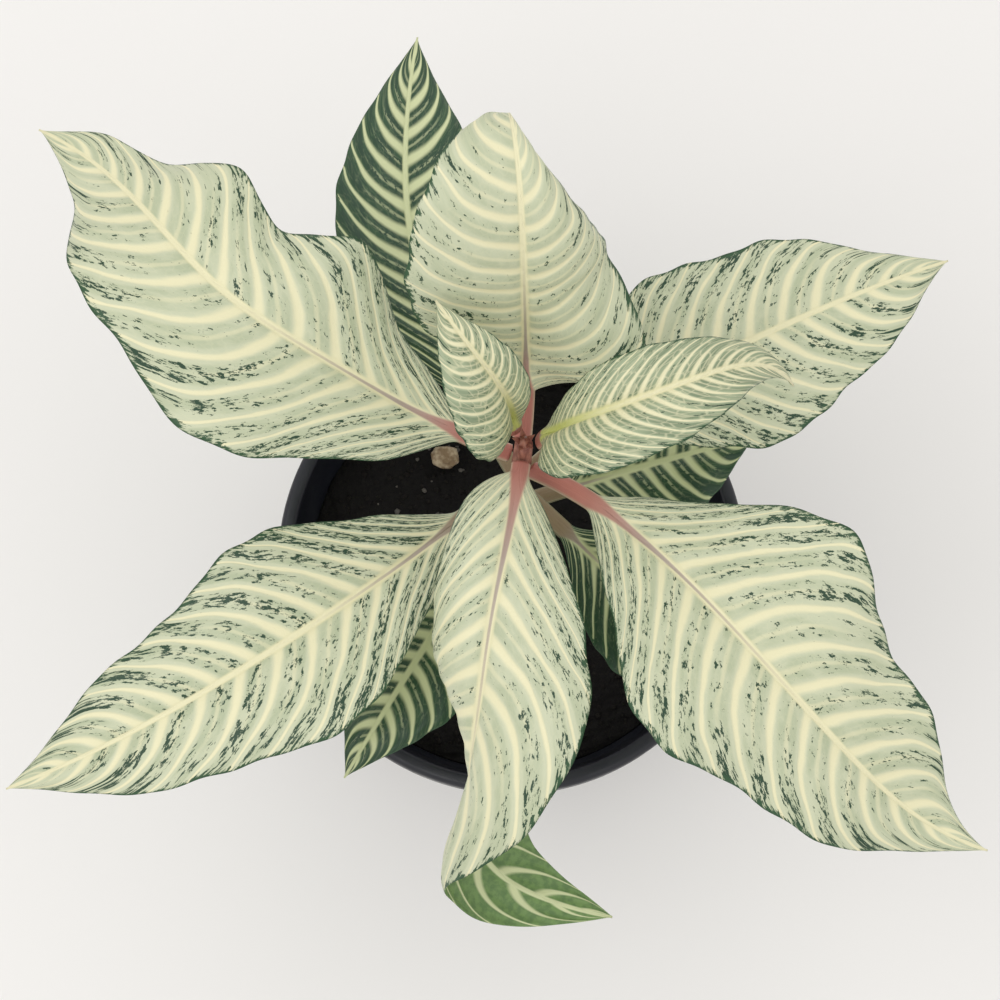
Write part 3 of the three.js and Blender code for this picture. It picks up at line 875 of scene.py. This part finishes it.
class ZEBRA_OT_pot(bpy.types.Operator):
    """Nursery pot: a turned wall with a rolled lip, a foot ring and drainage holes"""

    bl_idname = "zebra.pot"
    bl_label = "Pot"

    def execute(self, context):
        sizes = context.scene.zebra_sizes
        wall, lip, depth = sizes.wall / MM, sizes.lip_width / MM, sizes.lip_depth / MM
        rim, height, foot = RIM_RADIUS / MM, POT_HEIGHT / MM, POT_FOOT_RADIUS

        def inside(z):
            """Radius of the wall's inner face at a height."""
            return foot - wall + (rim - lip - foot + wall) * z / height

        under = height - depth
        corner = np.radians(np.linspace(0, 90, 7))
        lip_curve = [(rim - 2 + 2 * math.cos(a), height - 2 + 2 * math.sin(a)) for a in corner]
        inner_curve = [
            (rim - lip + 1.5 - 1.5 * math.sin(a), height - 1.5 + 1.5 * math.cos(a)) for a in corner
        ]
        bands = [
            (inside(z) + wall + (BAND_RAISE if k % 2 else 0), z) for k, z in enumerate(BAND_HEIGHTS)
        ]
        steps = [(inside(z) - (0.5 if z < POT_STEP_HEIGHT else 0), z) for z in (119, 113, 112, 60)]
        profile = [
            (POLE_RADIUS, 0), (26, 0), (26.3, 0.3), (28, 3), (48, 3), (49.7, 0.3), (50, 0), (52, 0),
            (52.7, 0.3), (foot, 1), *bands, (inside(under) + wall, under - 0.6),
            (inside(under) + wall + 0.6, under), (rim - 1, under), (rim - 0.3, under + 0.3),
            (rim, under + 1), *lip_curve, *inner_curve,
            *steps, (inside(5), 6), (inside(5) - 1, 5), (26, 5), (24, 2), (POLE_RADIUS, 2),
        ]
        points = turned_points(profile, 192) * MM
        pot = make_shell("pot_shell", points, closed=False)
        cap_poles(pot)
        cut_drains(pot, DRAIN_RADIUS * MM, DRAIN_CIRCLE * MM, DRAINS)
        black = tuple(context.scene.zebra_colours.pot)
        finish_piece(pot, "pot", "pot_plastic", plastic_material(black))
        return {"FINISHED"}


def cap_poles(piece):
    """Merges the small rings at the two poles of a turned piece, and turns all faces outward."""
    shape = bmesh.new()
    shape.from_mesh(piece.data)
    bmesh.ops.remove_doubles(shape, verts=shape.verts, dist=POLE_MERGE * MM)
    bmesh.ops.recalc_face_normals(shape, faces=shape.faces)
    shape.to_mesh(piece.data)
    shape.free()


def cut_drains(pot, radius, circle, count):
    """Cuts round drainage holes through the floor of the pot."""
    cutters = []
    for k in range(count):
        angle = math.pi / 4 + k * 2 * math.pi / count
        ring = turned_points([(1e-5, -0.002), (radius, -0.002), (radius, 0.01), (1e-5, 0.01)], 32)
        ring = ring + np.array((circle * math.cos(angle), circle * math.sin(angle), 0))
        cutter = make_shell("drain_cutter", ring, closed=False)
        cap_poles(cutter)
        cut = pot.modifiers.new("drain", "BOOLEAN")
        cut.operation = "DIFFERENCE"
        cut.object = cutter
        cutters.append(cutter)
    depsgraph = bpy.context.evaluated_depsgraph_get()
    drilled = bpy.data.meshes.new_from_object(pot.evaluated_get(depsgraph))
    pot.modifiers.clear()
    pot.data = drilled
    for cutter in cutters:
        bpy.data.objects.remove(cutter)


def soil_height(x, y):
    """Height of the soil in millimetres: a low mound plus several sizes of crossed waves as crumbs."""
    r = np.hypot(x, y)
    z = SOIL_TOP / MM - 0.6 - 1.5 * (r / 65) ** 2
    for size, depth in ((17, 0.5), (7.3, 0.4), (3.1, 0.35), (1.7, 0.25)):
        turn = size * 2.3
        a = x * math.cos(turn) + y * math.sin(turn)
        b = y * math.cos(turn) - x * math.sin(turn)
        ridge = np.sin(a * 2 * math.pi / size + 3 * np.sin(b / size))
        z = z + depth * ridge * np.sin(b * 2 * math.pi / size)
    return np.minimum(z, SOIL_TOP / MM)


class ZEBRA_OT_soil(bpy.types.Operator):
    """Peat in the pot, a lumpy disc with its sides and floor, and loose crumbs lying on it"""

    bl_idname = "zebra.soil"
    bl_label = "Soil"

    def execute(self, context):
        low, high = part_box("soil")
        edge = high.x / MM
        radii = np.concatenate(([POLE_RADIUS], np.linspace(0.6, edge - 0.3, SOIL_RINGS)))
        angle = full_turn(SOIL_SEGMENTS)
        x, y = radii[:, None] * np.cos(angle), radii[:, None] * np.sin(angle)
        top = np.stack((x, y, soil_height(x, y)), -1)[::-1]
        foot = low.z / MM
        outline = [(POLE_RADIUS, foot), (SOIL_FOOT_RADIUS, foot), (edge - 0.2, SOIL_TOP / MM - 4)]
        below = turned_points(outline, SOIL_SEGMENTS)
        points = np.concatenate((below, top)) * MM
        soil = make_shell("soil_bed", points, closed=False)
        cap_poles(soil)
        peat = soil_material("peat", shade(0.008, 0.007, 0.007), shade(0.035, 0.028, 0.022))
        finish_piece(soil, "soil", "potting_soil", peat)
        self.scatter(context.scene.zebra_sizes.crumbs, edge - 4)
        return {"FINISHED"}

    @staticmethod
    def scatter(count, spread):
        """Crumbs: twenty-faced lumps with seeded sizes, turns and places, half sunk in the soil. Every
        tenth is pale grit."""
        rng = np.random.default_rng(7)
        g = (1 + 5**0.5) / 2
        lump = np.array([
            (-1, g, 0), (1, g, 0), (-1, -g, 0), (1, -g, 0), (0, -1, g), (0, 1, g),
            (0, -1, -g), (0, 1, -g), (g, 0, -1), (g, 0, 1), (-g, 0, -1), (-g, 0, 1),
        ]) / math.hypot(1, g)
        faces = np.array([
            (0, 11, 5), (0, 5, 1), (0, 1, 7), (0, 7, 10), (0, 10, 11), (1, 5, 9), (5, 11, 4),
            (11, 10, 2), (10, 7, 6), (7, 1, 8), (3, 9, 4), (3, 4, 2), (3, 2, 6), (3, 6, 8),
            (3, 8, 9), (4, 9, 5), (2, 4, 11), (6, 2, 10), (8, 6, 7), (9, 8, 1),
        ])
        r = spread * np.sqrt(rng.uniform(0.02, 1, count))
        angle = rng.uniform(0, 2 * np.pi, count)
        x, y = r * np.cos(angle), r * np.sin(angle)
        size = rng.uniform(0.35, 1.1, count)
        stretch = rng.uniform(0.6, 1.4, (count, 12, 3))
        turn = rng.uniform(0, 2 * np.pi, count)
        c, s = np.cos(turn)[:, None], np.sin(turn)[:, None]
        px = lump[:, 0] * c - lump[:, 1] * s
        py = lump[:, 0] * s + lump[:, 1] * c
        body = np.stack((px, py, np.broadcast_to(lump[:, 2] * 0.7, px.shape)), -1)
        body = body * stretch * size[:, None, None]
        z = np.minimum(soil_height(x, y), SOIL_TOP / MM - 0.3) + 0.2 * size
        points = (body + np.stack((x, y, z), -1)[:, None]) * MM
        pale = np.arange(count) % 10 == 0
        crumb = soil_material("peat_crumb", shade(0.012, 0.01, 0.009), shade(0.05, 0.04, 0.03))
        grit = soil_material("pale_grit", shade(0.12, 0.11, 0.1), shade(0.3, 0.29, 0.27))
        for name, chosen, material in (("soil_crumbs", ~pale, crumb), ("soil_grit", pale, grit)):
            kept = points[chosen]
            offsets = 12 * np.arange(len(kept))[:, None, None]
            piece = make_object(name, kept.reshape(-1, 3), (faces + offsets).reshape(-1, 3))
            finish_piece(piece, None, "potting_soil", material)


class ZEBRA_OT_bark(bpy.types.Operator):
    """A lump of bark lying on the soil, a ball flattened and dented by crossed waves"""

    bl_idname = "zebra.bark"
    bl_label = "Bark lump"

    def execute(self, context):
        low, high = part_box("bark_chip")
        middle, size = np.array((low + high) / 2), np.array(high - low) / 2
        v, h = np.linspace(0.001, np.pi - 0.001, 60)[:, None], full_turn(90)
        x, y = np.sin(v) * np.cos(h), np.sin(v) * np.sin(h)
        ball = np.stack(np.broadcast_arrays(x, y, -np.cos(v)), -1)
        dents = np.sin(5 * ball[..., 0] + 1) * np.sin(6 * ball[..., 1]) * np.sin(4 * ball[..., 2] + 2)
        fine = np.sin(19 * ball[..., 0]) * np.sin(23 * ball[..., 1] + 1) * np.sin(17 * ball[..., 2])
        scale = 0.9 + 0.09 * dents + 0.03 * fine
        angular = np.sign(ball) * np.abs(ball) ** 0.8
        points = middle + angular * scale[..., None] * size * 0.97
        lump = make_shell("bark_lump", points)
        finish_piece(lump, "bark_chip", "bark", bark_material())
        return {"FINISHED"}


class ZEBRA_OT_stem(bpy.types.Operator):
    """Stem, a round section carried up its leaning line and swollen at each pair, and its bud"""

    bl_idname = "zebra.stem"
    bl_label = "Stem and shoot tip"

    def execute(self, context):
        z = np.linspace(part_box("stem")[0].z / MM, STEM_TOP / MM, 260)
        angle = full_turn(48)
        radius = stem_radius(z)[:, None] * (1 + 0.03 * np.cos(4 * angle)) - STEM_SKIN_INSET
        circle = np.stack((np.cos(angle), np.sin(angle), np.zeros_like(angle)), -1)
        points = (stem_axis(z)[:, None] + radius[..., None] * circle) * MM
        skin = stem_material()
        stem = make_shell("stem_shoot", points)
        finish_piece(stem, "stem", "stem_skin", skin)
        low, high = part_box("shoot_tip")
        radii = (0.02, 1.6, 1.9, 1.8, 1.3, 0.7, 0.3, 0.02)
        heights = (0, 0, 0.8, 2, 3.6, 5, 6, 6.3)
        fine = np.linspace(0, 1, 40)
        profile = np.stack((along(radii, fine), along(heights, fine)), -1)
        bud = turned_points(np.maximum(profile, (POLE_RADIUS, 0)), 40)
        bud[..., 0] *= 0.8
        foot = np.array(((low.x + high.x) / 2, (low.y + high.y) / 2, low.z))
        bud = bud * MM + foot
        tip = make_shell("shoot_bud", bud)
        finish_piece(tip, "shoot_tip", "stem_skin", skin)
        for k in range(BUD_SCALES):
            self.add_scale(k, foot, skin)
        return {"FINISHED"}

    @staticmethod
    def add_scale(k, foot, skin):
        """A bud scale: a thin pointed drop that leans outward, turned on from the last."""
        rise = np.linspace(0, 1, 24)[:, None]
        angle = full_turn(20)
        fat = np.sin(np.pi * rise**0.6) * 0.9 + 0.02
        across, thick = fat * np.cos(angle), 0.35 * fat * np.sin(angle)
        lean = 0.9 + 2.4 * rise**1.5
        turn = 2 * math.pi * k / BUD_SCALES + 0.5
        out = lean + thick
        x = out * math.cos(turn) - across * math.sin(turn)
        y = out * math.sin(turn) + across * math.cos(turn)
        z = np.broadcast_to(0.8 + (3.4 + 0.5 * (k % 3)) * rise, x.shape)
        points = np.stack((x, y, z), -1) * MM + foot
        scale = make_shell(f"bud_scale_{k}", points)
        finish_piece(scale, None, "stem_skin", skin)


class ZEBRA_OT_leaves(bpy.types.Operator):
    """Twelve leaves with their stalks, each a closed surface with its own shape and markings"""

    bl_idname = "zebra.leaves"
    bl_label = "Leaves"

    def execute(self, context):
        sizes = context.scene.zebra_sizes
        for seed, (name, leaf) in enumerate(LEAVES.items()):
            fine = 1.0 if leaf["length"] > SMALL_LEAF_LENGTH else SMALL_LEAF_DETAIL
            material = leaf_material(name, leaf, seed * 3, context.scene.zebra_colours)
            make_leaf(name, leaf, int(sizes.rings * fine), int(sizes.steps * fine), material)
        return {"FINISHED"}


class ZEBRA_OT_stage(bpy.types.Operator):
    """Camera looking down from the front, a pale floor and large soft lamps"""

    bl_idname = "zebra.stage"
    bl_label = "Stage"

    def execute(self, context):
        stage = context.scene.zebra_stage
        self.add_camera(context, stage)
        corners = FLOOR_REACH * np.array([(-1, -1, 0), (1, -1, 0), (1, 1, 0), (-1, 1, 0)], float)
        floor = make_object("floor", corners, np.array([(0, 1, 2, 3)]))
        floor.data.materials.append(floor_material(tuple(stage.floor_colour)))
        floor.location.z = -FLOOR_DROP
        for name, lamp in LAMPS.items():
            self.add_lamp(context, name, **lamp)
        world = bpy.data.worlds.new("studio_air")
        world.use_nodes = True
        air = world.node_tree.nodes["Background"]
        air.inputs["Color"].default_value = AIR_COLOUR
        air.inputs["Strength"].default_value = AIR_STRENGTH
        context.scene.world = world
        context.scene.view_settings.view_transform = "Standard"
        return {"FINISHED"}

    @staticmethod
    def add_camera(context, stage):
        """The camera stands off the rim's middle along its own line, and slides to frame the plant."""
        tilt = stage.camera_tilt
        forward = np.array((0, math.sin(tilt), -math.cos(tilt)))
        right = np.array((1.0, 0, 0))
        up = np.array((0, math.cos(tilt), math.sin(tilt)))
        place = np.array((0, 0, POT_HEIGHT)) - stage.camera_distance * forward
        place = place + CAMERA_SLIDE[0] * MM * right + CAMERA_SLIDE[1] * MM * up
        data = bpy.data.cameras.new("camera")
        data.lens = stage.lens
        camera = bpy.data.objects.new("camera", data)
        camera.location = place
        camera.rotation_euler = (tilt, 0, 0)
        context.scene.collection.objects.link(camera)
        context.scene.camera = camera

    @staticmethod
    def add_lamp(context, name, place, size, power):
        """A square soft lamp aimed at the middle of the plant."""
        data = bpy.data.lights.new(name, "AREA")
        data.size = size
        data.energy = power
        lamp = bpy.data.objects.new(name, data)
        lamp.location = place
        aim = np.array(LAMP_AIM) - np.array(place)
        flat = math.hypot(aim[0], aim[1])
        lamp.rotation_euler = (math.atan2(flat, -aim[2]), 0, math.atan2(aim[1], aim[0]) - math.pi / 2)
        context.scene.collection.objects.link(lamp)


class ZEBRA_PT_panel(bpy.types.Panel):
    """Lists the plant's pieces and sizes"""

    bl_idname = "ZEBRA_PT_panel"
    bl_label = "Zebra Plant"
    bl_space_type = "VIEW_3D"
    bl_region_type = "UI"
    bl_category = "Zebra Plant"

    def draw(self, context):
        for name in STEPS:
            self.layout.operator("zebra." + name)
        scene = context.scene
        for settings in (scene.zebra_sizes, scene.zebra_colours, scene.zebra_stage):
            for key in settings.bl_rna.properties.keys():
                if key not in {"rna_type", "name"}:
                    self.layout.prop(settings, key)


STEPS = ("stage", "pot", "soil", "bark", "stem", "leaves")
CLASSES = (
    ZebraSizes, ZebraColours, ZebraStage, ZEBRA_OT_stage, ZEBRA_OT_pot, ZEBRA_OT_soil,
    ZEBRA_OT_bark, ZEBRA_OT_stem, ZEBRA_OT_leaves, ZEBRA_PT_panel,
)


def register():
    """Registers the classes and hangs the settings on the scene."""
    for cls in CLASSES:
        bpy.utils.register_class(cls)
    bpy.types.Scene.zebra_sizes = bpy.props.PointerProperty(type=ZebraSizes)
    bpy.types.Scene.zebra_colours = bpy.props.PointerProperty(type=ZebraColours)
    bpy.types.Scene.zebra_stage = bpy.props.PointerProperty(type=ZebraStage)


def unregister():
    """Takes the settings and the classes away again."""
    for name in ("zebra_sizes", "zebra_colours", "zebra_stage"):
        delattr(bpy.types.Scene, name)
    for cls in reversed(CLASSES):
        bpy.utils.unregister_class(cls)


def main():
    """Builds everything in order."""
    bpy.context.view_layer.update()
    register()
    for name in STEPS:
        getattr(bpy.ops.zebra, name)()
    bpy.context.view_layer.update()


if __name__ == "__main__":
    main()
